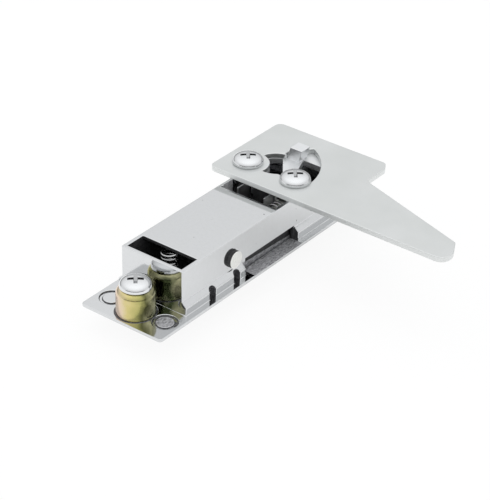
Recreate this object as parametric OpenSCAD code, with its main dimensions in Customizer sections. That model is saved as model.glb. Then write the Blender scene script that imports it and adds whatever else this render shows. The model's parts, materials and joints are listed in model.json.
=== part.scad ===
// Flush-mounted electrical cabinet knob lock with a quarter-turn cam, seen from its rear.
// Z = 0 is the rear face of the flange, which lies on the front of the cabinet door.
// X runs across the lock, Y along it, and Z to the rear, into the cabinet.

/* [Flange] */
// Width of the flange
flange_w = 30; // [28:0.5:40]
// Length of the flange
flange_l = 104; // [102:1:130]
// Thickness of the flange
flange_t = 1; // [0.8:0.1:2]
// Corner radius of the flange
flange_r = 1.2; // [0.5:0.1:3]

/* [Box] */
// Outer width of the box
box_w = 22.6; // [22:0.2:27]
// Outer length of the box
box_l = 75.9; // [75:0.1:80]
// Height of the box's rear face over the flange
box_h = 14.3; // [13.5:0.1:20]
// Wall thickness of the box
wall = 1.2; // [0.9:0.1:1.6]
// How far the box's foot stands out on each side
foot_out = 1.5; // [0.5:0.1:2]
// Height of the upright part of the foot
foot_h = 2.6; // [2:0.1:4]
// Height of the slope over the foot
foot_slope = 1.5; // [1:0.1:2]
// Depth of the box's floor below the rear face of the flange
floor_drop = 0.2; // [0.1:0.05:0.5]
// Length of the rear opening over the push button
near_open = 7; // [5:0.1:7.5]
// Distance from the box's middle to the near edge of the rear opening round the rotor
far_open_start = 7.5; // [6:0.1:9]
// Distance from the box's middle to the far edge of the rear opening round the rotor
far_open_end = 35.7; // [34.5:0.1:36]
// Distance from the box's middle to the near end of the side windows, against Y
window_start = 8.4; // [7:0.1:10]
// Length of the side windows
window_l = 23.7; // [15:0.1:26]
// Height of the side windows
window_h = 4.5; // [4:0.1:6]
// How far the foot stops short of the side windows
foot_gap = 1.7; // [0.5:0.1:2]
// Width of the notches in the foot
notch_w = 3; // [2:0.1:3.4]
// Height of the notches in the foot
notch_h = 3.6; // [2.5:0.1:3.8]
// Distance from the box's middle to the first notch, against Y
notch_1 = 25.6; // [24:0.1:27]
// Distance from the box's middle to the second notch, against Y
notch_2 = 14.2; // [13.5:0.1:15]

/* [Mounting] */
// Distance between the mounting bushes
bush_pitch = 90; // [89.6:0.1:100]
// Diameter of the mounting bushes
bush_d = 11.7; // [10:0.1:12]
// Height of the mounting bushes
bush_h = 8.5; // [6:0.1:12]
// Radius of the round edge on the bushes
bush_edge = 2.2; // [0.5:0.1:3]
// How far a bush's foot stands out round it, set into the flange
bush_foot_out = 0.4; // [0.3:0.1:0.8]
// Height of the bush's foot
bush_foot_h = 0.5; // [0.3:0.05:0.7]
// Depth of the threaded hole in a bush
bush_thread = 4.8; // [4:0.1:5]
// Distance across the lock between the round marks beside a bush
mark_pitch = 20; // [19:0.1:21]
// How far the round marks lie nearer the box than their bush
mark_lead = 1; // [0:0.1:1.2]
// Diameter of the round marks
mark_d = 7.6; // [6:0.1:8]
// Diameter of the disc left whole in a round mark
mark_core_d = 5.5; // [4:0.1:5.8]
// Depth of the round marks
mark_depth = 0.45; // [0.2:0.05:0.6]

/* [Screws] */
// Thread diameter of the large screws
screw_d = 5; // [4:0.5:6]
// Head diameter of the large screws
head_d = 9.7; // [8:0.1:10.5]
// Head height of the large screws
head_h = 3.4; // [2.5:0.1:4]

/* [Button and rocker] */
// Width of the push button
button_w = 14; // [8:0.5:16]
// Length of the push button
button_l = 11.5; // [6:0.5:12]
// How far the push button stands out of the flange
button_out = 1.8; // [1:0.1:3]
// Distance from the box's middle to the rocker's pivot, against Y
pivot_y = 14.5; // [14:0.1:15]
// Height of the rocker's pivot
pivot_z = 7.5; // [7:0.1:8]
// Diameter of the pivot pin
pivot_d = 5.5; // [4:0.1:6]
// How far the pivot pin stands out of the box
pivot_out = 1.3; // [0.5:0.1:2]
// Diameter of the countersink round the pivot pin's end
pivot_recess_d = 7; // [6.5:0.1:8]
// Thickness of the rocker's arms
rocker_t = 2; // [1.5:0.1:2.2]
// Outer diameter of the button spring
spring_d = 5.6; // [4:0.1:6]
// Wire diameter of the button spring
spring_wire = 0.6; // [0.4:0.05:0.8]
// Turns of the button spring
spring_turns = 6; // [4:0.5:8]

/* [Rotor] */
// Distance from the box's middle to the rotor's axis
rotor_y = 22; // [21.5:0.1:22.5]
// Diameter of the rotor
rotor_d = 16.8; // [15:0.1:17.4]
// Height of the bearing block in the box
block_h = 3.4; // [3:0.1:3.8]
// Gap between the bearing block and the box's side walls
block_gap = 0.6; // [0.3:0.1:0.9]
// Diameter of the detent plunger's nose
plunger_d = 3.8; // [3:0.1:4.2]
// Diameter of the detent plunger's stem
stem_d = 2.4; // [1.8:0.1:3]
// Outer diameter of the detent spring
detent_spring_d = 5.2; // [4.5:0.1:5.4]
// Wire diameter of the detent spring
detent_wire = 0.55; // [0.4:0.05:0.7]
// Turns of the detent spring
detent_turns = 5; // [3:0.5:6]

/* [Knob] */
// Width of the knob
knob_w = 12; // [10:0.5:14]
// Length of the knob
knob_l = 48; // [30:1:54]
// Height of the knob
knob_h = 6.5; // [5:0.1:10]
// Distance from the rotor's axis to the knob's far end
knob_tail = 10; // [8.5:0.5:14]

/* [Cam] */
// Thickness of the cam plate
cam_t = 1.7; // [1.5:0.1:3]
// Thickness of the carrier under the cam plate
carrier_t = 2; // [1.5:0.1:4]
// Distance between the cam screws
cam_screw_pitch = 18; // [16:0.1:20]
// Distance from the rotor's axis to the line of the cam screws
cam_screw_back = 3.5; // [3:0.1:4]
// Width of the cam's square part
cam_w = 42.9; // [40:0.1:50]
// Length of the cam's square part
cam_l = 35.7; // [33:0.1:40]
// Distance from the rotor's axis to the cam's left edge
cam_left = 17; // [16:0.1:20]
// Distance from the rotor's axis to the cam's front edge
cam_front = 12.6; // [12:0.1:14]
// Reach of the cam's finger from the rotor's axis
finger_reach = 68.8; // [55:0.1:90]
// Width of the finger near its tip
finger_tip_w = 10.2; // [8:0.1:14]
// Width of the finger at its root
finger_root_w = 23; // [16:0.1:26]
// Outer radius of the cam's curved opening, from the left screw
slot_r = 22.4; // [21:0.1:23]
// Radius left whole round the left screw
land_r = 6.7; // [5.5:0.1:7]
// Diameter of the round part of the cam's opening
eye_d = 12.8; // [10:0.1:13]
// Distance from the rotor's axis to the middle of the carrier's lug
lug_back = 10.8; // [10:0.1:12]
// Width of the carrier's lug
lug_w = 4.4; // [3:0.1:5]
// Height of the lug over the cam plate
lug_h = 2.4; // [1:0.1:6]
// How far the lug leans along X from its foot to its top
lug_lean = 1.7; // [0:0.1:2]

/* [Clearances] */
// Gap between pieces that turn past each other
gap = 0.3; // [0.2:0.05:0.5]
// Radial running clearance of the rotor, the rocker and the plunger
run_gap = 0.05; // [0.02:0.01:0.1]
// Radial clearance of fixed pins and screws
fit_gap = 0.02; // [0.01:0.01:0.05]

/* [Hidden] */
$fn = 72;
// Overlap of cutting shapes past the faces they cut
cut = 0.5;
box_inner_w = box_w - 2 * wall;
box_near = -box_l / 2;
inner_near = box_near + wall;
inner_far = box_l / 2 - wall;
inner_l = inner_far - inner_near;
roof_z = box_h - wall;
near_open_end = inner_near + near_open;
foot_w = box_w + 2 * foot_out;
pivot = [0, -pivot_y, pivot_z];
screw_r = screw_d / 2;
bush_y = bush_pitch / 2;
bush_foot_r = bush_d / 2 + bush_foot_out;
mark_y = bush_y - mark_lead;
// Shares of a pan head: its rim's height, and its recess's length, width and floor
head_rim = 0.28;
recess_long = 0.52;
recess_wide = 0.13;
recess_floor = 0.4;
// Rocker: the near arm carries the button, the far arm holds the locking nose
hub_wall = 1.9;
hub_r = pivot_d / 2 + hub_wall;
hub_w = box_inner_w - 2 * gap;
arm_z = 1.2;
arm_top = arm_z + rocker_t;
arm_w = 16;
arm_end_gap = 0.95;
arm_near = inner_near + arm_end_gap;
nose_w = 4;
nose_x = -3.6;
nose_z = 5.8;
nose_t = 2.9;
// Extra room in front of the rotor for the rocker's nose and the detent plunger
nose_gap = 0.1;
nose_end = rotor_y - rotor_d / 2 - gap - nose_gap;
web_w = 12;
button_inset = 0.5;
button_near = arm_near + button_inset;
button_r = 1.5;
button_window_gap = 0.8;
spring_y = near_open_end;
spring_seat_gap = 0.25;
spring_seat_d = spring_d - 2 * spring_wire - 2 * spring_seat_gap;
spring_seat_h = 1.4;
// Bearing block: a tower guides the detent plunger, and two ribs stand before the rotor
block_w = box_inner_w - 2 * block_gap;
block_near = -window_start + gap;
block_rim = 2.2;
block_far = rotor_y + rotor_d / 2 + block_rim;
rotor_room = rotor_d / 2 + gap;
detent_x = 7.1;
detent_z = roof_z - detent_spring_d / 2 - gap;
tower_w = 4.8;
tower_l = 4;
tower_wall = 1.2;
tower_near = -1;
tower_far = tower_near + tower_l;
tower_top = detent_z + stem_d / 2 + tower_wall;
stem_out = 1.5;
collar_t = 1.2;
collar_far = rotor_y - sqrt(pow(rotor_room, 2) - pow(detent_x - detent_spring_d / 2, 2)) - nose_gap;
collar_near = collar_far - collar_t;
plunger_tip = rotor_y - sqrt(pow(rotor_room, 2) - pow(detent_x - plunger_d / 2, 2)) - nose_gap;
rib_t = 0.6;
rib_near = 9.9;
rib_top = box_h - gap;
// Near faces of the two ribs across the lock, clear of the nose and of the detent spring
rib_left = nose_x - nose_w / 2 - gap - rib_t;
rib_right = detent_x - detent_spring_d / 2 - gap - rib_t;
// Rotor, carrier and cam
rotor_r = rotor_d / 2;
rotor_floor = 1.4;
floor_z = block_h + rotor_floor;
carrier_z = box_h + gap;
cam_z = carrier_z + carrier_t;
cam_top = cam_z + cam_t;
cam_screw_y = rotor_y - cam_screw_back;
cam_screw_x = cam_screw_pitch / 2;
pillar_back = 1.2;
pillar_far = cam_screw_y - pillar_back;
eye_x = -1.7;
eye_back = 1.4;
eye_y = rotor_y + eye_back;
slot_end_angle = 62;
lug_x = -1.4;
lug_y = rotor_y + lug_back;
lug_gap = 0.4;
lug_l = cam_top + lug_h - carrier_z;
// The lug's lean up to the middle of the cam plate, and within the plate
lug_shift = lug_lean * (carrier_t + cam_t / 2) / lug_l;
lug_sway = lug_lean * cam_t / lug_l;
carrier_edge = 5;
carrier_rim = 5.5;
carrier_r = 4;
carrier_far = lug_y + lug_w / 2 + carrier_rim;
// How far the carrier's arm stands out beside the lug, and how far it reaches in beside the right screw
arm_side = 1;
arm_turn = 3;
carrier_screw_x = 4;
carrier_screw_in = 2.2;
carrier_screw_y = rotor_y - rotor_r + carrier_screw_in;
carrier_screw_d = 2.5;
carrier_screw_l = 6;
carrier_head_d = 4.4;
knob_top = -flange_t - gap;
knob_r = 4.5;
knob_skin = 1.5;
knob_screw_d = 4;
knob_head_d = 7;
knob_head_h = 2.2;

// Points of a polygon with its corners rounded: each corner is [x, y, radius]
function rounded(corners, steps = 8) = [
    for (i = [0 : len(corners) - 1])
        let (n = len(corners), c = corners[i], p = corners[(i + n - 1) % n], q = corners[(i + 1) % n],
             here = [c.x, c.y], u = unit([p.x, p.y] - here), v = unit([q.x, q.y] - here),
             half = acos(u * v) / 2, centre = here + unit(u + v) * c[2] / sin(half),
             from = here + u * c[2] / tan(half) - centre, to = here + v * c[2] / tan(half) - centre,
             start = atan2(from.y, from.x), raw = atan2(to.y, to.x) - start,
             turn = raw > 180 ? raw - 360 : raw < -180 ? raw + 360 : raw)
        for (k = [0 : steps])
            centre + c[2] * [cos(start + turn * k / steps), sin(start + turn * k / steps)]
];
function unit(v) = v / norm(v);

// A block on the XY plane, centred in X and Y
module slab(w, l, h) {
    translate([-w / 2, -l / 2, 0]) cube([w, l, h]);
}

// A plate with rounded corners, centred in X and Y
module round_slab(w, l, h, r) {
    x = w / 2;
    y = l / 2;
    linear_extrude(h) polygon(rounded([[x, y, r], [-x, y, r], [-x, -y, r], [x, -y, r]]));
}

// A rod along X, centred
module cross_rod(d, l) {
    rotate([0, 90, 0]) cylinder(d = d, h = l, center = true);
}

// A coil of round wire along Z, with closed end turns
module coil(d, wire, turns, h) {
    ring = 8;
    per_turn = 20;
    count = round(turns * per_turn);
    lead = (h - wire) / turns;
    r = (d - wire) / 2;
    points = [for (i = [0 : count], k = [0 : ring - 1])
        let (a = 360 * i / per_turn, b = 360 * k / ring)
            [(r + wire / 2 * cos(b)) * cos(a), (r + wire / 2 * cos(b)) * sin(a),
             wire / 2 + lead * i / per_turn + wire / 2 * sin(b)]];
    sides = [for (i = [0 : count - 1], k = [0 : ring - 1])
        let (a = i * ring + k, b = i * ring + (k + 1) % ring)
            each [[a, a + ring, b], [b, a + ring, b + ring]]];
    first = [for (k = [0 : ring - 1]) k];
    last = [for (k = [ring - 1 : -1 : 0]) count * ring + k];
    polyhedron(points, concat([first, last], sides), convexity = 10);
}

// A pan-head screw with a cross recess: its head sits on Z = 0 and its shank points down
module pan_screw(d, l, head_d, head_h) {
    rim = head_h * head_rim;
    dome = head_h - rim;
    r = (pow(head_d / 2, 2) + pow(dome, 2)) / (2 * dome);
    arc = asin(head_d / 2 / r);
    steps = 10;
    recess_l = head_d * recess_long;
    recess_w = head_d * recess_wide;
    difference() {
        union() {
            rotate_extrude()
                polygon(concat([[0, 0], [head_d / 2, 0]],
                    [for (k = [0 : steps])
                        let (a = arc * (1 - k / steps)) [r * sin(a), head_h - r + r * cos(a)]]));
            translate([0, 0, -l]) cylinder(d = d, h = l + rim / 2);
        }
        for (turn = [0, 90])
            rotate(turn) translate([0, 0, head_h * recess_floor]) slab(recess_l, recess_w, head_h);
    }
}

// Outline of the cam: a square part with a tapered finger on its right
module cam_outline() {
    left = -cam_left;
    right = cam_w - cam_left;
    front = rotor_y - cam_front;
    back = front + cam_l;
    chamfer = 3.2;
    tip = finger_reach;
    tip_bow = 0.6;
    tip_back = 3.2;
    corner_r = 2.2;
    small_r = 1.6;
    root_r = 1;
    tip_r = finger_tip_w / 3;
    polygon(rounded([
        [left, front, corner_r], [tip, front, tip_r], [tip - tip_bow, front + finger_tip_w / 2, tip_r],
        [tip - tip_back, front + finger_tip_w, tip_r / 2], [right, front + finger_root_w, root_r],
        [right, back - chamfer, small_r], [right - chamfer * 0.6, back, small_r], [left, back, corner_r]]));
}

// The cam's opening: a round eye joined to a curved slot about the left screw
module cam_opening() {
    far = 2 * slot_r;
    land_in = 0.2;
    difference() {
        union() {
            translate([eye_x, eye_y]) circle(d = eye_d);
            translate([-cam_screw_x, cam_screw_y]) intersection() {
                circle(r = slot_r);
                polygon([[0, 0], [far, 0], [far, far * sin(slot_end_angle)],
                         [far * cos(slot_end_angle), far * sin(slot_end_angle)]]);
            }
            translate([lug_x + lug_shift, lug_y])
                square([lug_w + lug_sway + 2 * lug_gap, lug_w + 2 * lug_gap], center = true);
        }
        translate([-cam_screw_x, cam_screw_y]) circle(r = land_r);
        translate([cam_screw_x, cam_screw_y]) circle(r = head_d / 2 - land_in);
    }
}

// Holes for the two cam screws
module cam_screw_holes(r) {
    for (side = [-1, 1]) translate([side * cam_screw_x, cam_screw_y]) circle(r = r);
}

// Cross-section of the box over the flange
module box_section() {
    b = box_w / 2;
    f = foot_w / 2;
    top = foot_h + foot_slope;
    polygon([[-f, 0], [f, 0], [f, foot_h], [b, top], [b, box_h], [-b, box_h], [-b, top], [-f, foot_h]]);
}

// Openings cut in one side wall of the box: window, notches and pin recess
module side_cuts() {
    x = box_inner_w / 2 - cut;
    depth = foot_w;
    translate([x, -window_start, 0]) cube([depth, window_l, window_h]);
    translate([box_w / 2, -window_start - foot_gap, 0]) cube([depth, window_l + 2 * foot_gap, box_h]);
    for (y = [-notch_1, -notch_2]) {
        translate([x + cut + wall / 2, y - notch_w / 2, 0]) cube([depth, notch_w, notch_h - notch_w / 2]);
        translate([x + cut + wall / 2, y, notch_h - notch_w / 2]) rotate([0, 90, 0])
            cylinder(d = notch_w, h = depth);
    }
    translate([box_w / 2 - wall / 2, -pivot_y, pivot_z]) rotate([0, 90, 0])
        cylinder(d = pivot_recess_d, h = depth);
}

module housing() {
    color("silver") difference() {
        union() {
            translate([0, 0, -flange_t]) round_slab(flange_w, flange_l, flange_t, flange_r);
            translate([0, box_l / 2, 0]) rotate([90, 0, 0]) linear_extrude(box_l) box_section();
        }
        translate([0, (inner_near + inner_far) / 2, -floor_drop])
            slab(box_inner_w, inner_l, roof_z + floor_drop);
        translate([0, inner_near + near_open / 2, roof_z - cut])
            slab(box_inner_w, near_open, wall + 2 * cut);
        translate([0, (far_open_start + far_open_end) / 2, roof_z - cut])
            slab(box_inner_w, far_open_end - far_open_start, wall + 2 * cut);
        for (turn = [0, 1]) mirror([turn, 0, 0]) side_cuts();
        translate(pivot) cross_rod(pivot_d + 2 * fit_gap, foot_w + 2 * cut);
        translate([0, button_near + button_l / 2, -flange_t - cut])
            slab(button_w + 2 * button_window_gap, button_l + 2 * button_window_gap, flange_t + 2 * cut);
        translate([0, rotor_y, -flange_t - cut]) cylinder(r = rotor_r + run_gap, h = flange_t + 2 * cut);
        for (end = [-1, 1]) {
            translate([0, end * bush_y, -bush_foot_h])
                cylinder(r = bush_foot_r + fit_gap, h = bush_foot_h + cut);
            for (side = [-1, 1]) translate([side * mark_pitch / 2, end * mark_y, -mark_depth]) difference() {
                cylinder(d = mark_d, h = mark_depth + cut);
                translate([0, 0, -cut]) cylinder(d = mark_core_d, h = mark_depth + cut);
            }
        }
    }
}

// A mounting bush with a round top edge, a threaded hole and a foot set into the flange
module bush() {
    r = bush_d / 2;
    bore_r = screw_r + fit_gap;
    bore_z = bush_h - bush_thread;
    steps = 8;
    rotate_extrude()
        polygon(concat([[0, -bush_foot_h], [bush_foot_r, -bush_foot_h], [bush_foot_r, 0], [r, 0]],
            [for (k = [0 : steps])
                let (a = 90 * k / steps)
                    [r - bush_edge + bush_edge * cos(a), bush_h - bush_edge + bush_edge * sin(a)]],
            [[bore_r, bush_h], [bore_r, bore_z], [0, bore_z]]));
}

module near_bush() {
    color("goldenrod") translate([0, -bush_y, 0]) bush();
}

module far_bush() {
    color("goldenrod") translate([0, bush_y, 0]) bush();
}

// The screw of a mounting bush, ending just over the bottom of its threaded hole
module bush_screw(y) {
    translate([0, y, bush_h]) pan_screw(screw_d, bush_thread - gap, head_d, head_h);
}

module near_bush_screw() {
    color("gainsboro") bush_screw(-bush_y);
}

module far_bush_screw() {
    color("gainsboro") bush_screw(bush_y);
}

// A thin upright rib of the bearing block, which stops short of the rotor
module rib(x) {
    translate([x, rib_near, block_h - cut]) cube([rib_t, rotor_y - rib_near, rib_top - block_h + cut]);
}

module bearing_block() {
    color("dimgray") difference() {
        union() {
            translate([0, (block_near + block_far) / 2, -floor_drop])
                slab(block_w, block_far - block_near, block_h + floor_drop);
            translate([detent_x, tower_near + tower_l / 2, 0]) slab(tower_w, tower_l, tower_top);
            difference() {
                for (x = [rib_left, rib_right]) rib(x);
                translate([0, rotor_y, 0]) cylinder(r = rotor_room, h = box_h);
            }
        }
        translate([0, rotor_y, -flange_t]) cylinder(r = rotor_r + run_gap, h = block_h + flange_t + cut);
        translate([detent_x, tower_near - cut, detent_z]) rotate([-90, 0, 0])
            cylinder(d = stem_d + 2 * run_gap, h = tower_l + 2 * cut);
    }
}

module pivot_pin() {
    color("white") translate(pivot) cross_rod(pivot_d, box_w + 2 * pivot_out);
}

module rocker() {
    color("gray") difference() {
        union() {
            translate(pivot) cross_rod(2 * hub_r, hub_w);
            translate([-arm_w / 2, arm_near, arm_z]) cube([arm_w, -pivot_y - arm_near, rocker_t]);
            translate([-web_w / 2, -pivot_y - hub_r, arm_z]) cube([web_w, 2 * hub_r, pivot_z - arm_z]);
            translate([nose_x - nose_w / 2, -pivot_y, nose_z]) cube([nose_w, nose_end + pivot_y, nose_t]);
            translate([0, spring_y, arm_top]) cylinder(d = spring_seat_d, h = spring_seat_h);
        }
        translate(pivot) cross_rod(pivot_d + 2 * run_gap, hub_w + 2 * cut);
    }
}

module push_button() {
    bottom = -flange_t - button_out;
    color("silver") translate([0, button_near + button_l / 2, bottom])
        round_slab(button_w, button_l, arm_z - bottom, button_r);
}

module button_spring() {
    color("lightgray") translate([0, spring_y, arm_top])
        coil(spring_d, spring_wire, spring_turns, roof_z - arm_top);
}

module detent_plunger() {
    stem_near = tower_near - stem_out;
    color("lightgray") translate([detent_x, 0, detent_z]) rotate([-90, 0, 0]) {
        translate([0, 0, stem_near]) cylinder(d = stem_d, h = collar_far - stem_near);
        translate([0, 0, collar_near]) cylinder(d = detent_spring_d, h = collar_t);
        translate([0, 0, collar_near]) cylinder(d = plunger_d, h = plunger_tip - collar_near);
    }
}

module detent_spring() {
    color("lightgray") translate([detent_x, tower_far, detent_z]) rotate([-90, 0, 0])
        coil(detent_spring_d, detent_wire, detent_turns, collar_near - tower_far);
}

module rotor() {
    color("silver") translate([0, rotor_y, 0]) difference() {
        translate([0, 0, knob_top]) cylinder(r = rotor_r, h = carrier_z - knob_top);
        translate([-rotor_d, pillar_far - rotor_y, floor_z]) cube([2 * rotor_d, 2 * rotor_d, box_h]);
        translate([0, 0, knob_top - cut]) cylinder(d = knob_screw_d + 2 * fit_gap, h = box_h);
        for (side = [-1, 1])
            translate([side * carrier_screw_x, carrier_screw_y - rotor_y, carrier_z - carrier_screw_l])
                cylinder(d = carrier_screw_d + 2 * fit_gap, h = carrier_screw_l + cut);
    }
}

// The carrier's outline, hidden under the cam plate
module carrier_outline() {
    x = cam_screw_x + carrier_edge;
    near = cam_screw_y - carrier_edge;
    r = carrier_r;
    polygon(rounded([[x, near, r], [x, carrier_far, r], [-x, carrier_far, r], [-x, near, r]]));
}

// The carrier's arm: a wedge from the lug to the right screw
module carrier_arm() {
    half = lug_w / 2;
    polygon([[lug_x - half - arm_side, lug_y + half], [lug_x - half - arm_side, lug_y - half],
             [arm_side, rotor_y + arm_side], [cam_screw_x - arm_turn, cam_screw_y],
             [cam_screw_x, cam_screw_y], [cam_screw_x - arm_turn, cam_screw_y + arm_turn],
             [lug_x + half, lug_y + half]]);
}

// The carrier's opening: the cam's, as far back as the middle of the lug, with the arm left across it
module carrier_opening() {
    difference() {
        cam_opening();
        carrier_arm();
        translate([0, lug_y + slot_r]) square(2 * slot_r, center = true);
    }
}

module carrier() {
    color("silver") union() {
        difference() {
            translate([0, 0, carrier_z]) linear_extrude(carrier_t) difference() {
                carrier_outline();
                carrier_opening();
                cam_screw_holes(screw_r + fit_gap);
            }
            for (side = [-1, 1]) translate([side * carrier_screw_x, carrier_screw_y, carrier_z]) {
                translate([0, 0, -cut]) cylinder(d = carrier_screw_d + 2 * fit_gap, h = carrier_t);
                translate([0, 0, carrier_t / 2]) cylinder(d = carrier_head_d, h = carrier_t);
            }
        }
        translate([lug_x - lug_w / 2, lug_y + lug_w / 2, carrier_z]) rotate([90, 0, 0]) linear_extrude(lug_w)
            polygon([[0, 0], [lug_w, 0], [lug_w + lug_lean, lug_l], [lug_lean, lug_l]]);
    }
}

module carrier_screws() {
    color("lightgray") for (side = [-1, 1])
        translate([side * carrier_screw_x, carrier_screw_y, cam_z - carrier_t / 2]) {
            cylinder(d = carrier_head_d - 2 * fit_gap, h = carrier_t / 2);
            translate([0, 0, carrier_t / 2 - carrier_screw_l])
                cylinder(d = carrier_screw_d, h = carrier_screw_l);
        }
}

module cam_plate() {
    color("lightgray") translate([0, 0, cam_z]) linear_extrude(cam_t) difference() {
        cam_outline();
        cam_opening();
        cam_screw_holes(screw_r + fit_gap);
    }
}

// A cam screw through the cam plate, ending flush with the front of the carrier
module cam_screw(side) {
    translate([side * cam_screw_x, cam_screw_y, cam_top])
        pan_screw(screw_d, cam_t + carrier_t, head_d, head_h);
}

module left_cam_screw() {
    color("gainsboro") cam_screw(-1);
}

module right_cam_screw() {
    color("gainsboro") cam_screw(1);
}

module knob() {
    color("silver") difference() {
        translate([0, rotor_y + knob_tail - knob_l / 2, knob_top - knob_h])
            round_slab(knob_w, knob_l, knob_h, knob_r);
        translate([0, rotor_y, knob_top - knob_h + knob_skin])
            cylinder(d = knob_screw_d + 2 * fit_gap, h = knob_h);
    }
}

module knob_screw() {
    color("lightgray") translate([0, rotor_y, floor_z])
        pan_screw(knob_screw_d, floor_z - knob_top + knob_h - knob_skin - gap, knob_head_d, knob_head_h);
}

housing();
near_bush();
far_bush();
near_bush_screw();
far_bush_screw();
bearing_block();
pivot_pin();
rocker();
push_button();
button_spring();
detent_plunger();
detent_spring();
rotor();
carrier();
carrier_screws();
cam_plate();
left_cam_screw();
right_cam_screw();
knob();
knob_screw();
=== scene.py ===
"""Looks of the cabinet knob lock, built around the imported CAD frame."""
import json
import math

import bmesh
import bpy
from mathutils import Matrix, Vector


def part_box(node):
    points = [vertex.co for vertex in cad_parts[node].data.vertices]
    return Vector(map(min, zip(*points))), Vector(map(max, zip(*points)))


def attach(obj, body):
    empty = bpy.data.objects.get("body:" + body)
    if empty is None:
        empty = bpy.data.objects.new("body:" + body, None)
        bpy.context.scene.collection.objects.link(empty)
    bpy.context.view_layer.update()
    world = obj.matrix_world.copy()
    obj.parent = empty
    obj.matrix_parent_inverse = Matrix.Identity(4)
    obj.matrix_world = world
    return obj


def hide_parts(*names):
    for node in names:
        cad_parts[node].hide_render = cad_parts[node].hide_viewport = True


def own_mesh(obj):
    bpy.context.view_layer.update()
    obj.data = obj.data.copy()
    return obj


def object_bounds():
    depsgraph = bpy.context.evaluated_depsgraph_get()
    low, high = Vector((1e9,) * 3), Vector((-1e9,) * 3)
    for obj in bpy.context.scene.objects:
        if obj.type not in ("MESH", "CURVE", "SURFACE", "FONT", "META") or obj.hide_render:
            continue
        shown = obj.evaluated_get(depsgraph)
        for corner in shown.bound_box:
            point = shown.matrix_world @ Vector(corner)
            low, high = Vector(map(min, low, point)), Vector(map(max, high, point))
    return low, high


MM = 0.001
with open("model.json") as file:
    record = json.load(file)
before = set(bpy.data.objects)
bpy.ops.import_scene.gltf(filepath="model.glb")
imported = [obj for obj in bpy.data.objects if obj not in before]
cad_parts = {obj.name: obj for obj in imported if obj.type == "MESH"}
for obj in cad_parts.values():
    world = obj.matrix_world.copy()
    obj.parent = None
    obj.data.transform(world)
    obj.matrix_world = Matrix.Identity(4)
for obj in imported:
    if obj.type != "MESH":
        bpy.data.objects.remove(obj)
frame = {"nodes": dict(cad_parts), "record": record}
cad_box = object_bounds()
scene = bpy.context.scene

# Camera, matched to the photograph's view (part frame, millimetres and degrees)
CAMERA_AT = Vector((300.47, -390.22, 307.36))
CAMERA_AZIMUTH = 37.166
CAMERA_ELEVATION = 32.049
CAMERA_ROLL = 1.294
FOCAL_PX = 1917.0
IMAGE_LONG_SIDE = 500
SENSOR = 36.0
CLIP_M = (0.01, 20)

# Rounded edges, in millimetres
EDGE = 0.22
FINE_EDGE = 0.1
GRIP_EDGE = 1.2
OPENING_EDGE = 0.9
BUSH_FOOT_EDGE = 0.12

# Steps of round forms
EDGE_STEPS = 3
OPENING_STEPS = 6
SHOULDER_STEPS = 14
HEAD_STEPS = 24
RING_STEPS = 128
TURN_STEPS = 40
WIRE_STEPS = 12

# Tolerances: how near counts as on a plane, and which points are one (millimetres); angles in degrees
SKIN = 0.05
WELD = 0.002
FLAT_ANGLE = 0.5
SHARP_ANGLE = 32
CORNER_ANGLE = 35

# Housing: sizes of the CAD that are shaped or painted again here, in millimetres
BOX_HALF = 11.3
BOX_NEAR = -37.95
BOX_WALL = 1.2
WINDOW = (-8.4, 15.3)
WINDOW_H = 4.5
FOOT_GAP = 1.7
JAMB_GAP = 0.6
FAR_OPENING = 7.5
PAINTED_LIGHT_WALL = 5.0
NOTCHES = (-25.6, -14.2)
NOTCH_HALF = 1.5
NOTCH_H = 3.6
PIVOT = (-14.5, 7.5)
PIN_RECESS_R = 3.5
MARK_X = 10.0
MARK_Y = 44.0
MARK_R = 3.8
MARK_CORE_R = 2.75
MARK_DEPTH = 0.9

# Bearing block, in millimetres: its sides are painted dark as a shadow above a line that starts at
# DARK_FROM by the windows' near end and falls by DARK_FALL per millimetre
BLOCK_TOP = 3.4
BLOCK_SIDE = 0.2
BLOCK_RIM = 0.3
DARK_FROM = 1.7
DARK_FALL = 0.05

# Bushes and screws, in millimetres; the head's dome and its recess are shares of the head's size
BUSH_R = 5.85
BUSH_EDGE = 2.2
BUSH_BORE_R = 2.52
BUSH_THREAD = 4.8
SHANK_R = 2.5
HEAD_H = 3.4
KNOB_SHANK_R = 2.0
KNOB_HEAD_H = 2.2
HEAD_RIM = 0.3
HEAD_DOME = 0.8
HEAD_FULL = 2.6
THREAD_PITCH = 0.8
THREAD_DEPTH = 0.4
RECESS_LONG = 0.55
RECESS_WIDE = 0.125
RECESS_DEPTH = 0.6
RECESS_TAPER = 0.45
RECESS_OVER = 0.2
RECESS_TURN = 40.0

# Springs: wire in millimetres, turns,
# and how close the end turns lie
BUTTON_WIRE = 0.6
BUTTON_TURNS = 6
DETENT_WIRE = 0.55
DETENT_TURNS = 5
CLOSE_ENDS = 0.25

# Bright end of the pivot pin, in millimetres
PIN_END = 0.15


def camera():
    """Places the camera where the photograph was taken from."""
    data = bpy.data.cameras.new("camera")
    data.sensor_width = SENSOR
    data.lens = FOCAL_PX / IMAGE_LONG_SIDE * SENSOR
    data.clip_start, data.clip_end = CLIP_M
    eye = bpy.data.objects.new("camera", data)
    scene.collection.objects.link(eye)
    azimuth, elevation = math.radians(CAMERA_AZIMUTH), math.radians(CAMERA_ELEVATION)
    turn = Matrix.Rotation(azimuth, 4, "Z") @ Matrix.Rotation(math.pi / 2 - elevation, 4, "X")
    turn = turn @ Matrix.Rotation(math.radians(CAMERA_ROLL), 4, "Z")
    eye.matrix_world = Matrix.Translation(CAMERA_AT * MM) @ turn
    scene.camera = eye


def set_stops(ramp, stops):
    """Sets the stops of a colour ramp: each is (place, colour)."""
    points = ramp.elements
    while len(points) < len(stops):
        points.new(0.5)
    for point, (place, color) in zip(points, stops):
        point.position = place
        point.color = (*color, 1)


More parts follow.
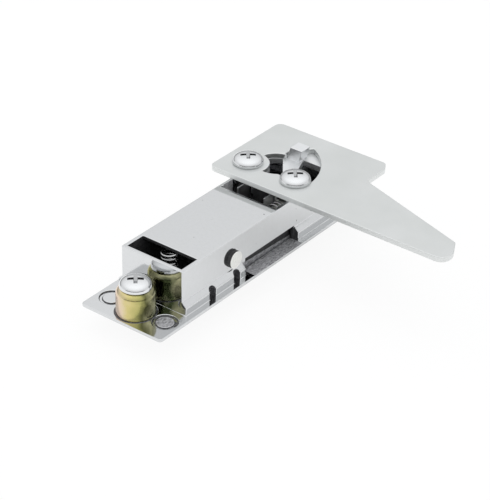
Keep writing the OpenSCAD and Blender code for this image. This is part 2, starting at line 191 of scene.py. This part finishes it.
class Shader:
    """A procedural material: a Principled shader with helpers to wire textures to it."""

    def __init__(self, name, color, metallic, roughness):
        self.material = bpy.data.materials.new(name)
        self.material.use_nodes = True
        self.nodes = self.material.node_tree.nodes
        self.links = self.material.node_tree.links
        self.bsdf = self.nodes["Principled BSDF"]
        self.bsdf.inputs["Base Color"].default_value = (*color, 1)
        self.bsdf.inputs["Metallic"].default_value = metallic
        self.bsdf.inputs["Roughness"].default_value = roughness
        self.place = self.add("ShaderNodeTexCoord").outputs["Object"]

    def add(self, kind, **values):
        made = self.nodes.new(kind)
        for key, value in values.items():
            setattr(made, key, value)
        return made

    def join(self, start, end):
        self.links.new(start, end)

    def stretched(self, scale):
        """The surface position, stretched along the axes."""
        mapping = self.add("ShaderNodeMapping")
        mapping.inputs["Scale"].default_value = scale
        self.join(self.place, mapping.inputs["Vector"])
        return mapping.outputs["Vector"]

    def noise(self, size_mm, detail=4.0, roughness=0.55, vector=None):
        """Noise whose blotches are about size_mm across."""
        made = self.add("ShaderNodeTexNoise")
        made.inputs["Scale"].default_value = 1 / (size_mm * MM)
        made.inputs["Detail"].default_value = detail
        made.inputs["Roughness"].default_value = roughness
        self.join(vector or self.place, made.inputs["Vector"])
        return made.outputs["Fac"]

    def along(self, direction, half_mm):
        """Goes from 0 to 1 along a direction, over half_mm each way from the piece's origin."""
        made = self.add("ShaderNodeVectorMath", operation="DOT_PRODUCT")
        made.inputs[1].default_value = Vector(direction).normalized()
        self.join(self.place, made.inputs[0])
        return self.spread(made.outputs["Value"], 0, 1, -half_mm * MM, half_mm * MM)

    def blend(self, first, second, share):
        """The average of two values, with the given share of the second."""
        made = self.add("ShaderNodeMix")
        made.inputs["Factor"].default_value = share
        self.join(first, made.inputs["A"])
        self.join(second, made.inputs["B"])
        return made.outputs["Result"]

    def ramp(self, value, *stops):
        """Maps a value to colours: each stop is (place, colour)."""
        made = self.add("ShaderNodeValToRGB")
        set_stops(made.color_ramp, stops)
        self.join(value, made.inputs["Fac"])
        return made.outputs["Color"]

    def spread(self, value, low, high, start=0.3, end=0.7):
        """Maps a value between start and end to low and high."""
        made = self.add("ShaderNodeMapRange")
        limits = (("From Min", start), ("From Max", end), ("To Min", low), ("To Max", high))
        for name, number in limits:
            made.inputs[name].default_value = number
        self.join(value, made.inputs["Value"])
        return made.outputs["Result"]

    def bumps(self, *layers):
        """Adds bump layers: each is (height, strength, depth in millimetres)."""
        normal = None
        for height, strength, depth in layers:
            made = self.add("ShaderNodeBump")
            made.inputs["Strength"].default_value = strength
            made.inputs["Distance"].default_value = depth * MM
            self.join(height, made.inputs["Height"])
            if normal:
                self.join(normal, made.inputs["Normal"])
            normal = made.outputs["Normal"]
        self.join(normal, self.bsdf.inputs["Normal"])

    def color(self, output):
        self.join(output, self.bsdf.inputs["Base Color"])

    def roughness(self, output):
        self.join(output, self.bsdf.inputs["Roughness"])


def chrome(name, tone, rough):
    """Chrome over a die casting: a little wavy, with faint clouds and a few fine pits."""
    made = Shader(name, (tone, tone, tone), 1.0, 0.08)
    blotches = made.noise(1.3, detail=1)
    pit = (0.2, 0.2, 0.2)
    plain = (tone, tone * 1.01, tone * 1.02)
    cloud = (tone * 0.985, tone * 0.996, tone * 1.003)
    made.color(made.ramp(blotches, (0.19, pit), (0.235, plain), (0.42, cloud), (0.58, plain)))
    made.roughness(made.spread(made.noise(9, detail=3), *rough))
    waves = made.noise(6, detail=1)
    dents = made.noise(1.6, detail=3)
    grain = made.noise(0.35, detail=2)
    made.bumps((waves, 0.08, 0.1), (dents, 0.06, 0.04), (grain, 0.05, 0.02))
    return made.material


def zinc_plate():
    """Satin zinc on rolled sheet, with faint clouds and a fine grain."""
    made = Shader("zinc_plate", (0.68, 0.69, 0.68), 1.0, 0.4)
    cloud = made.noise(14, detail=5)
    grain = made.noise(0.5, detail=3, vector=made.stretched((1, 0.25, 1)))
    waves = made.noise(5, detail=2)
    dark, light = (0.66, 0.675, 0.665), (0.71, 0.72, 0.715)
    made.color(made.ramp(cloud, (0.3, dark), (0.7, light)))
    made.roughness(made.spread(cloud, 0.36, 0.46))
    made.bumps((grain, 0.12, 0.02), (waves, 0.05, 0.08))
    return made.material


def nickel(name, tone):
    """Bright nickel on the screws; a darker copy of it is painted shade in their recesses."""
    made = Shader(name, (tone, tone * 1.01, tone * 1.02), 1.0, 0.1)
    fine = made.noise(0.8, detail=3)
    made.roughness(made.spread(fine, 0.06, 0.12))
    made.bumps((fine, 0.05, 0.03))
    return made.material


def yellow_zinc():
    """Yellow passivated zinc, whose tint shifts from rose and cream over gold to olive across one
    direction, followed by a dark streak, a lighter band and a dark edge that are painted reflection and
    painted shade.
    """
    made = Shader("yellow_zinc", (0.62, 0.52, 0.28), 1.0, 0.16)
    tint_and_reflection = made.blend(made.along((0.72, 0.69, 0), 6), made.noise(4, detail=2), 0.3)
    rose, cream, gold = (0.7, 0.54, 0.44), (0.68, 0.57, 0.38), (0.6, 0.52, 0.22)
    # The streak, sheen and edge stops are painted light: a dark reflection, a light reflection and a
    # shaded edge on one side of the bush
    olive, painted_dark_reflection = (0.4, 0.38, 0.14), (0.12, 0.12, 0.05)
    painted_sheen, edge = (0.46, 0.44, 0.26), (0.08, 0.1, 0.04)
    made.color(made.ramp(tint_and_reflection, (0.16, rose), (0.26, cream), (0.38, gold), (0.53, olive),
                         (0.63, painted_dark_reflection), (0.76, painted_sheen), (0.86, edge)))
    made.roughness(made.spread(made.noise(1.2), 0.16, 0.26))
    made.bumps((made.noise(1.5, detail=2), 0.05, 0.05))
    return made.material


def rough_cast(name, dark, light, metallic):
    """A rough, unplated casting; in very dark or pale tones it also serves as painted shade and painted
    light.
    """
    made = Shader(name, light, metallic, 0.55)
    grit = made.noise(0.5, detail=6, roughness=0.7, vector=made.stretched((1, 0.4, 1)))
    made.color(made.ramp(grit, (0.38, dark), (0.62, light)))
    made.roughness(made.spread(grit, 0.45, 0.75))
    lumps = made.noise(3, detail=3)
    made.bumps((grit, 0.6, 0.25), (lumps, 0.3, 0.4))
    return made.material


def steel(name, color, roughness):
    """Ground steel, with fine turning marks."""
    made = Shader(name, color, 1.0, roughness)
    marks = made.noise(0.4, detail=3, vector=made.stretched((0.2, 1, 1)))
    made.roughness(made.spread(marks, roughness * 0.8, roughness * 1.25))
    made.bumps((marks, 0.08, 0.02))
    return made.material


MATERIALS = {
    "chrome": chrome("chrome", 0.66, (0.05, 0.1)),
    "bright": chrome("bright_chrome", 0.8, (0.36, 0.46)),
    "zinc": zinc_plate(),
    "nickel": nickel("nickel", 0.7),
    # Painted shade: a darker nickel for the inside of the screws' cross recesses
    "shade": nickel("painted_recess_shade", 0.42),
    "yellow": yellow_zinc(),
    "cast": rough_cast("rough_casting", (0.17, 0.17, 0.18), (0.6, 0.6, 0.62), 0.3),
    # Painted light: a pale, dull material that stands in for the light the far inner chrome walls
    # reflect
    "pale": rough_cast("painted_light_wall", (0.6, 0.6, 0.61), (0.88, 0.88, 0.9), 0.1),
    # Painted shade: a near-black material for the inside of the box, its cuts, the foot's end, the
    # rocker, the rotor, the block's upper sides and the pin's sides
    "painted_shade": rough_cast("painted_shade_black", (0.018, 0.018, 0.019), (0.042, 0.042, 0.044), 0.0),
    # Painted shade: a dim grey for the notches, the marks' grooves and the tops of the bushes' foot
    # collars
    "painted_dim_shade": rough_cast("painted_shade_grey", (0.05, 0.05, 0.055), (0.2, 0.2, 0.21), 0.5),
    "steel": steel("ground_steel", (0.82, 0.82, 0.79), 0.3),
    "spring": steel("spring_steel", (0.5, 0.5, 0.5), 0.22),
}
BODIES = frame["record"]["behaviour"]["bodies"]
BODY_OF = {node: body for body, nodes in BODIES.items() for node in nodes}


def piece(mesh, node, material, at=(0, 0, 0)):
    """Puts a finished mesh in the scene in place of a CAD node."""
    made = bpy.data.objects.new(node + "_part", mesh)
    scene.collection.objects.link(made)
    mesh.name = node + "_part"
    made.location = at
    if not mesh.materials:
        mesh.materials.append(MATERIALS[material])
    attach(made, BODY_OF[node])
    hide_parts(node)
    return made


def new_mesh(name, points, faces):
    """A smooth-shaded mesh from points in millimetres."""
    mesh = bpy.data.meshes.new(name)
    mesh.from_pydata([tuple(value * MM for value in point) for point in points], [], faces)
    cells = bmesh.new()
    cells.from_mesh(mesh)
    bmesh.ops.recalc_face_normals(cells, faces=cells.faces)
    cells.to_mesh(mesh)
    cells.free()
    smooth(mesh)
    return mesh


def smooth(mesh):
    """Smooth shading, with sharp edges kept sharp."""
    mesh.polygons.foreach_set("use_smooth", [True] * len(mesh.polygons))
    mesh.set_sharp_from_angle(angle=math.radians(SHARP_ANGLE))


def baked(made):
    """The object's mesh with its modifiers applied."""
    view = bpy.context.evaluated_depsgraph_get()
    return bpy.data.meshes.new_from_object(made.evaluated_get(view))


def seam(cells, at_mm, normal, test):
    """Cuts the faces whose middle, in millimetres, passes the test along a plane."""
    chosen = [face for face in cells.faces if test(face.calc_center_median() / MM)]
    edges = {edge for face in chosen for edge in face.edges}
    points = {point for face in chosen for point in face.verts}
    bmesh.ops.bisect_plane(cells, geom=[*points, *edges, *chosen], plane_co=Vector(at_mm) * MM,
                           plane_no=Vector(normal))


def merged(cells):
    """Joins points that lie together, and faces that lie in one plane."""
    bmesh.ops.remove_doubles(cells, verts=cells.verts, dist=WELD * MM)
    bmesh.ops.dissolve_limit(cells, angle_limit=math.radians(FLAT_ANGLE),
                             verts=cells.verts, edges=cells.edges)


def rounded_copy(node, edge, change=None, sharp=None):
    """A copy of a CAD node's mesh with rounded edges, after a change to its cells.
    Edges whose middle, in millimetres, passes the sharp test stay as they are."""
    cells = bmesh.new()
    cells.from_mesh(frame["nodes"][node].data)
    merged(cells)
    if change:
        change(cells)
    rounding = cells.edges.layers.float.new("bevel_weight_edge")
    for side in cells.edges:
        middle = (side.verts[0].co + side.verts[1].co) / 2 / MM
        joined = len(side.link_faces) == 2
        corner = joined and side.calc_face_angle() > math.radians(CORNER_ANGLE)
        side[rounding] = float(corner and not (sharp and sharp(middle)))
    mesh = bpy.data.meshes.new(node)
    cells.to_mesh(mesh)
    cells.free()
    mesh.polygons.foreach_set("use_smooth", [True] * len(mesh.polygons))
    work = bpy.data.objects.new(node + "_work", mesh)
    scene.collection.objects.link(work)
    bevel = work.modifiers.new("edges", "BEVEL")
    bevel.width = edge * MM
    bevel.segments = EDGE_STEPS
    bevel.limit_method = "WEIGHT"
    bevel.use_clamp_overlap = False
    bevel.loop_slide = False
    flat = work.modifiers.new("flat faces", "WEIGHTED_NORMAL")
    flat.keep_sharp = False
    flat.weight = 100
    bpy.context.view_layer.update()
    finished = baked(work)
    bpy.data.objects.remove(work)
    finished.materials.clear()
    return finished


def dressed(node, material, edge=EDGE):
    """A copy of a CAD node with rounded edges, which stands for it."""
    return piece(rounded_copy(node, edge), node, material)


def paint(mesh, base, *areas):
    """Gives a mesh its base material, and others on the faces whose middle passes a test.
    Each area is (material, test of a point in millimetres), and a later one wins."""
    names, tests = zip(*areas)
    for name in (base, *names):
        mesh.materials.append(MATERIALS[name])
    for face in mesh.polygons:
        middle = face.center / MM
        for index, inside in enumerate(tests, 1):
            if inside(middle):
                face.material_index = index


def housing():
    """The chromed box: painted dark as shade inside, in its cuts and notches, on the foot's end and in
    the marks' grooves, painted light on its far inner walls, and rough in the windows' sills.
    """
    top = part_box("housing")[1].z / MM
    inner_half = BOX_HALF - BOX_WALL
    inner_near = BOX_NEAR + BOX_WALL
    along = (0, 1, 0)

    def at_pin(p):
        return math.hypot(p.y - PIVOT[0], p.z - PIVOT[1]) < PIN_RECESS_R + SKIN

    def on_inner_wall(p):
        return abs(abs(p.x) - inner_half) < SKIN

    def on_flange(p):
        return abs(p.z) < SKIN

    def in_window_span(p, slack):
        return WINDOW[0] - slack < p.y < WINDOW[1] + slack

    def on_lip(edge):
        ends = [end.co / MM for end in edge.verts]
        return all(abs(p.y - FAR_OPENING) < SKIN and p.z > top - SKIN for p in ends)

    def shaped(cells):
        for point in cells.verts:
            place = point.co / MM
            if at_pin(place) and inner_half + SKIN < abs(place.x) < BOX_HALF - SKIN:
                point.co.x = math.copysign(BOX_HALF, place.x) * MM
            if abs(place.y - WINDOW[1] - FOOT_GAP) < SKIN and abs(place.x) > BOX_HALF - SKIN:
                point.co.y = (WINDOW[1] + JAMB_GAP) * MM
        merged(cells)
        for y in WINDOW:
            seam(cells, (0, y, 0), along, lambda p: on_flange(p) or on_inner_wall(p))
        seam(cells, (0, FAR_OPENING + PAINTED_LIGHT_WALL, 0), along, on_inner_wall)
        seam(cells, (0, FAR_OPENING, 0), along, lambda p: abs(p.x) < inner_half + SKIN and p.z > SKIN)
        lip = [edge for edge in cells.edges if on_lip(edge)]
        bmesh.ops.bevel(cells, geom=lip, offset=OPENING_EDGE * MM, segments=OPENING_STEPS,
                        affect="EDGES", profile=0.5)

    # Painted shade: the inside of the box is painted black
    def hollow(p):
        inside = abs(p.x) < inner_half + SKIN and inner_near - SKIN < p.y < FAR_OPENING
        return inside and -4 * SKIN < p.z < top - EDGE - SKIN

    # Painted shade: the windows' jambs and header are painted black
    def cuts(p):
        in_wall = inner_half - SKIN < abs(p.x) < BOX_HALF - EDGE
        return in_wall and in_window_span(p, SKIN) and SKIN < p.z < WINDOW_H + SKIN

    # Painted shade: the notches are painted dim grey
    def notches(p):
        in_notch = any(abs(p.y - y) < NOTCH_HALF + SKIN for y in NOTCHES)
        in_foot = inner_half - SKIN < abs(p.x) < BOX_HALF + BOX_WALL - EDGE / 2
        return in_notch and in_foot and SKIN < p.z < NOTCH_H + SKIN

    # Painted shade: the foot's end by the far jamb is painted black
    def jamb(p):
        foot_end = WINDOW[1] - SKIN < p.y < WINDOW[1] + JAMB_GAP + SKIN
        return foot_end and abs(p.x) > inner_half - SKIN and SKIN < p.z < WINDOW_H

    # Painted light: the far inner walls get a pale, dull material for the light they reflect
    def far_walls(p):
        past_opening = FAR_OPENING < p.y < FAR_OPENING + PAINTED_LIGHT_WALL
        return past_opening and on_inner_wall(p) and p.z > WINDOW_H

    def sill(p):
        return abs(p.x) > inner_half - SKIN and in_window_span(p, 0) and on_flange(p)

    # Painted shade: the marks' grooves are painted dim grey
    def groove(p):
        away = math.hypot(abs(p.x) - MARK_X, abs(p.y) - MARK_Y)
        return MARK_CORE_R - SKIN < away < MARK_R + SKIN and -MARK_DEPTH < p.z < -2 * SKIN

    def grainy(p):
        return math.hypot(p.x - MARK_X, p.y + MARK_Y) < MARK_CORE_R and on_flange(p)

    mesh = rounded_copy("housing", EDGE, shaped, at_pin)
    # Painted shade: black inside the box, in the windows' cuts and on the foot's end, and dim grey in
    # the notches and the marks' grooves; painted light: a pale, dull material on the far inner walls
    paint(mesh, "chrome", ("painted_shade", hollow), ("painted_shade", cuts), ("painted_dim_shade", notches), ("painted_shade", jamb),
          ("pale", far_walls), ("cast", sill), ("painted_dim_shade", groove), ("cast", grainy))
    piece(mesh, "housing", "chrome")


def bearing_block():
    """The rough bearing block: bright ribs, and sides painted dark as shadow above a slanted line."""
    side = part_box("bearing_block")[1].x / MM - BLOCK_SIDE

    def shaped(cells):
        seam(cells, (0, 0, BLOCK_TOP), (0, 0, 1), lambda p: abs(p.x) > side)
        seam(cells, (0, WINDOW[0], DARK_FROM), (0, DARK_FALL, 1),
             lambda p: abs(p.x) > side and p.z < BLOCK_TOP)

    # Painted shadow: the block's sides are painted black above a slanted line, as the shade under the
    # window's top
    def dark(p):
        line = DARK_FROM - DARK_FALL * (p.y - WINDOW[0])
        return abs(p.x) > side and line < p.z < BLOCK_TOP + BLOCK_RIM

    def ribs(p):
        return abs(p.x) < side and p.z > BLOCK_TOP + BLOCK_RIM and p.y > FAR_OPENING

    mesh = rounded_copy("bearing_block", FINE_EDGE, shaped)
    paint(mesh, "cast", ("bright", ribs), ("painted_shade", dark))
    piece(mesh, "bearing_block", "cast")


def turned(name, profile):
    """A solid turned about Z from (radius, height) points, from its top to its bottom."""
    points, rings, faces = [], [], []
    for radius, height in profile:
        steps = RING_STEPS if radius else 1
        angles = [2 * math.pi * k / steps for k in range(steps)]
        rings.append(range(len(points), len(points) + steps))
        points += [(radius * math.cos(turn), radius * math.sin(turn), height) for turn in angles]
    for upper, lower in zip(rings, rings[1:]):
        for k in range(RING_STEPS):
            corners = [upper[k % len(upper)], lower[k % len(lower)],
                       lower[(k + 1) % len(lower)], upper[(k + 1) % len(upper)]]
            faces.append(list(dict.fromkeys(corners)))
    return new_mesh(name, points, faces)


def arc(centre, radius, start, end, steps):
    """Points on an arc of a profile, with angles in degrees."""
    angles = [math.radians(start + (end - start) * k / steps) for k in range(steps + 1)]
    return [(centre[0] + radius * math.cos(a), centre[1] + radius * math.sin(a)) for a in angles]


def thread(radius, length):
    """Profile of a threaded shank that points down from Z = 0."""
    count = max(1, int(length / THREAD_PITCH))
    pitch = length / count
    profile = []
    for k in range(count):
        profile += [(radius, -pitch * k), (radius - THREAD_DEPTH, -pitch * (k + 0.5))]
    return profile + [(radius - THREAD_DEPTH / 2, -length), (0, -length)]


def wing(name, head_r, head_h, turn):
    """A tapered slab that cuts one bar of a cross recess, as an object of its own."""
    bottom = head_h * (1 - RECESS_DEPTH)
    top = head_h + RECESS_OVER
    cos, sin = math.cos(turn), math.sin(turn)
    points = []
    for z, share in ((bottom, RECESS_TAPER), (top, 1)):
        long, half = head_r * RECESS_LONG * share, head_r * RECESS_WIDE * math.sqrt(share)
        for x, y in ((-long, -half), (long, -half), (long, half), (-long, half)):
            points.append((x * cos - y * sin, x * sin + y * cos, z))
    sides = [(k, (k + 1) % 4, (k + 1) % 4 + 4, k + 4) for k in range(4)]
    faces = [(0, 3, 2, 1), (4, 5, 6, 7)] + sides
    made = bpy.data.objects.new(name, new_mesh(name, points, faces))
    scene.collection.objects.link(made)
    return made


def recessed(mesh, head_r, head_h):
    """A screw's mesh with a cross recess cut into its head."""
    work = bpy.data.objects.new("screw_work", mesh)
    scene.collection.objects.link(work)
    turns = [math.radians(RECESS_TURN + turn) for turn in (0, 90)]
    wings = [wing("wing_work", head_r, head_h, turn) for turn in turns]
    for tool in wings:
        cut = work.modifiers.new("recess", "BOOLEAN")
        cut.operation = "DIFFERENCE"
        cut.solver = "EXACT"
        cut.object = tool
    bpy.context.view_layer.update()
    finished = baked(work)
    for used in (work, *wings):
        bpy.data.objects.remove(used)
    smooth(finished)
    finished.materials.clear()
    return finished


def screw(node, shank_r, head_h):
    """A pan-head screw with a cross recess, in place of its CAD node."""
    low, high = (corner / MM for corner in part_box(node))
    head_r = (high.x - low.x) / 2
    length = high.z - low.z - head_h
    dome = head_h * HEAD_DOME - HEAD_RIM
    top = dome + HEAD_RIM
    profile = [(0, top)]
    for k in range(1, HEAD_STEPS + 1):
        turn = math.pi / 2 * k / HEAD_STEPS
        reach, rise = (max(part, 0) ** (2 / HEAD_FULL) for part in (math.sin(turn), math.cos(turn)))
        profile.append((head_r * reach, HEAD_RIM + dome * rise))
    profile += [(head_r - HEAD_RIM, 0)] + thread(shank_r, length)
    mesh = recessed(turned(node, profile), head_r, top)

    def in_recess(p):
        away = math.hypot(p.x, p.y) / head_r
        if away > RECESS_LONG or p.z < HEAD_RIM:
            return False
        surface = HEAD_RIM + dome * (1 - away ** HEAD_FULL) ** (1 / HEAD_FULL)
        return p.z < surface - SKIN

    # Painted shade: the faces inside the cross recess get a darker nickel
    paint(mesh, "nickel", ("shade", in_recess))
    middle = (low + high) / 2
    piece(mesh, node, "nickel", Vector((middle.x, middle.y, high.z - head_h)) * MM)


def bush(node):
    """A turned mounting bush with a round shoulder and a threaded hole."""
    low, high = (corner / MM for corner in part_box(node))
    foot_r = (high.x - low.x) / 2
    edge = BUSH_FOOT_EDGE
    clearance = BUSH_BORE_R - SHANK_R
    cut = thread(SHANK_R + THREAD_DEPTH, BUSH_THREAD)
    hole = [(radius + clearance, high.z + z) for radius, z in reversed(cut)]
    shoulder = arc((BUSH_R - BUSH_EDGE, high.z - BUSH_EDGE), BUSH_EDGE, 90, 0, SHOULDER_STEPS)
    foot = [(BUSH_R, 0), (foot_r - edge, 0), (foot_r, -edge), (foot_r, low.z), (0, low.z)]
    middle = (low + high) / 2
    mesh = turned(node, hole + shoulder + foot)
    # Painted shadow: the top of the foot collar round the bush is painted dark as its contact shadow on
    # the flange
    paint(mesh, "yellow", ("painted_dim_shade", lambda p: p.z < SKIN and math.hypot(p.x, p.y) > BUSH_R))
    piece(mesh, node, "yellow", Vector((middle.x, middle.y, 0)) * MM)


def coil(node, wire, turns, axis):
    """A coil spring with close end turns along an axis."""
    low, high = (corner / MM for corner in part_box(node))
    middle = (low + high) / 2
    length = (high - low)[axis]
    radius = (high - low)[0] / 2 - wire / 2
    sides = WIRE_STEPS
    count = turns * TURN_STEPS
    points, faces = [], []
    for i in range(count + 1):
        share = i / count
        turn = 2 * math.pi * i / TURN_STEPS
        travel = share - CLOSE_ENDS * math.sin(2 * math.pi * share) / (2 * math.pi)
        for k in range(sides):
            round_wire = 2 * math.pi * k / sides
            out = radius + wire / 2 * math.cos(round_wire)
            rise = wire / 2 + (length - wire) * travel + wire / 2 * math.sin(round_wire)
            across = (out * math.cos(turn), out * math.sin(turn))
            if axis == 2:
                points.append((middle.x + across[0], middle.y + across[1], low.z + rise))
            else:
                points.append((middle.x + across[0], low.y + rise, middle.z - across[1]))
    for i in range(count):
        for k in range(sides):
            a, b = i * sides + k, i * sides + (k + 1) % sides
            faces.append((a, b, b + sides, a + sides))
    faces += [tuple(range(sides))[::-1], tuple(range(count * sides, (count + 1) * sides))]
    made = piece(new_mesh(node, points, faces), node, "spring")
    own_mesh(made)


def pivot_pin():
    """The rocker's pin: satin ends, and sides painted black as shade where they stand out of the box."""
    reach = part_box("pivot_pin")[1].x / MM
    mesh = rounded_copy("pivot_pin", FINE_EDGE)
    paint(mesh, "steel", ("painted_shade", lambda p: abs(p.x) < reach - PIN_END))
    piece(mesh, "pivot_pin", "steel")


camera()
housing()
dressed("cam_plate", "zinc")
bearing_block()
dressed("carrier", "bright", FINE_EDGE)
dressed("push_button", "chrome", GRIP_EDGE)
dressed("knob", "chrome", GRIP_EDGE)
# Painted shade: the rocker and the rotor inside the box are painted near black
for node in ("rocker", "rotor"):
    dressed(node, "painted_shade")
for node in ("near_bush", "far_bush"):
    bush(node)
for node in ("near_bush_screw", "far_bush_screw", "left_cam_screw", "right_cam_screw"):
    screw(node, SHANK_R, HEAD_H)
screw("knob_screw", KNOB_SHANK_R, KNOB_HEAD_H)
dressed("carrier_screws", "nickel", FINE_EDGE)
dressed("detent_plunger", "steel", FINE_EDGE)
pivot_pin()
coil("button_spring", BUTTON_WIRE, BUTTON_TURNS, 2)
coil("detent_spring", DETENT_WIRE, DETENT_TURNS, 1)


def world_light():
    """A white studio with a brighter top, and two dark bands low down that give the metal contrast.
    The camera sees plain white instead."""
    world = bpy.data.worlds.new("studio")
    world.use_nodes = True
    scene.world = world
    nodes, links = world.node_tree.nodes, world.node_tree.links

    def ramped(value, *stops):
        made = nodes.new("ShaderNodeValToRGB")
        set_stops(made.color_ramp, [(place, (level, level, level)) for place, level in stops])
        links.new(value, made.inputs["Fac"])
        return made.outputs["Color"]

    def times(first, second):
        made = nodes.new("ShaderNodeMath")
        made.operation = "MULTIPLY"
        links.new(first, made.inputs[0])
        links.new(second, made.inputs[1])
        return made.outputs[0]

    def towards(way):
        made = nodes.new("ShaderNodeVectorMath")
        made.operation = "DOT_PRODUCT"
        made.inputs[1].default_value = way
        links.new(direction, made.inputs[0])
        return made.outputs["Value"]

    def ranged(value, **limits):
        made = nodes.new("ShaderNodeMapRange")
        for name, number in limits.items():
            made.inputs[name.replace("_", " ").title()].default_value = number
        links.new(value, made.inputs["Value"])
        return made.outputs["Result"]

    direction = nodes.new("ShaderNodeTexCoord").outputs["Generated"]
    up = towards((0, 0, 1))
    near_way, near_level = (0.6, -0.8, 0), 0.1
    far_way, far_level = (-0.6, 0.8, 0), 0.4
    near_height = ramped(up, (0.0, 1), (0.12, 1), (0.26, 0))
    near = times(near_height, ramped(towards(near_way), (0.3, 0), (0.6, 1)))
    far_height = ramped(up, (0.0, 1), (0.12, 1), (0.4, 0))
    far = times(far_height, ramped(towards(far_way), (0.2, 0), (0.5, 1)))
    bands = times(ranged(near, to_min=1.0, to_max=near_level), ranged(far, to_min=1.0, to_max=far_level))
    roof = ranged(up, from_min=0.45, from_max=1.0, to_min=0.92, to_max=1.38)

    studio = nodes.new("ShaderNodeBackground")
    studio.inputs["Color"].default_value = (0.98, 0.99, 1.0, 1)
    links.new(times(bands, roof), studio.inputs["Strength"])
    white = nodes.new("ShaderNodeBackground")
    white.inputs["Color"].default_value = (1, 1, 1, 1)
    ray = nodes.new("ShaderNodeLightPath")
    mix = nodes.new("ShaderNodeMixShader")
    links.new(ray.outputs["Is Camera Ray"], mix.inputs["Fac"])
    links.new(studio.outputs[0], mix.inputs[1])
    links.new(white.outputs[0], mix.inputs[2])
    links.new(mix.outputs[0], nodes["World Output"].inputs["Surface"])


def area_light(name, at_mm, aim_mm, size_mm, power):
    """A soft round lamp that faces a point."""
    data = bpy.data.lights.new(name, "AREA")
    data.shape = "DISK"
    data.size = size_mm * MM
    data.energy = power
    lamp = bpy.data.objects.new(name, data)
    scene.collection.objects.link(lamp)
    lamp.location = Vector(at_mm) * MM
    lamp.rotation_euler = (Vector(aim_mm) - Vector(at_mm)).to_track_quat("-Z", "Y").to_euler()
    lamp.visible_glossy = False


def floor():
    """A pale floor under the lock, which keeps its shadow and can't be seen from below."""
    half_m, gap_mm = 3.0, 0.02
    seen_glow, lit_glow, lit_strength = 0.9, 0.26, 1.3
    level = cad_box[0][2] - gap_mm * MM
    corners = ((-1, -1), (1, -1), (1, 1), (-1, 1))
    mesh = bpy.data.meshes.new("floor")
    mesh.from_pydata([(half_m * x, half_m * y, level) for x, y in corners], [], [(0, 1, 2, 3)])
    ground = bpy.data.objects.new("floor", mesh)
    scene.collection.objects.link(ground)
    made = bpy.data.materials.new("floor")
    made.use_nodes = True
    nodes, links = made.node_tree.nodes, made.node_tree.links
    nodes.clear()
    pale = nodes.new("ShaderNodeBsdfDiffuse")
    pale.inputs["Color"].default_value = (0.9, 0.9, 0.9, 1)
    glow = nodes.new("ShaderNodeEmission")
    seen = nodes.new("ShaderNodeLightPath")

    def seen_or_not(seen_value, other_value):
        made = nodes.new("ShaderNodeMapRange")
        made.inputs["To Min"].default_value = other_value
        made.inputs["To Max"].default_value = seen_value
        links.new(seen.outputs["Is Camera Ray"], made.inputs["Value"])
        return made.outputs["Result"]

    links.new(seen_or_not(1.0, lit_strength), glow.inputs["Strength"])
    mix = nodes.new("ShaderNodeMixShader")
    links.new(seen_or_not(seen_glow, lit_glow), mix.inputs["Fac"])
    clear = nodes.new("ShaderNodeBsdfTransparent")
    side = nodes.new("ShaderNodeNewGeometry")
    both = nodes.new("ShaderNodeMixShader")
    out = nodes.new("ShaderNodeOutputMaterial")
    links.new(pale.outputs[0], mix.inputs[1])
    links.new(glow.outputs[0], mix.inputs[2])
    links.new(side.outputs["Backfacing"], both.inputs["Fac"])
    links.new(mix.outputs[0], both.inputs[1])
    links.new(clear.outputs[0], both.inputs[2])
    links.new(both.outputs[0], out.inputs["Surface"])
    mesh.materials.append(made)


world_light()
area_light("key", at_mm=(-350, 260, 700), aim_mm=(0, 0, 10), size_mm=700, power=0.8)
floor()

scene.view_settings.view_transform = "Standard"
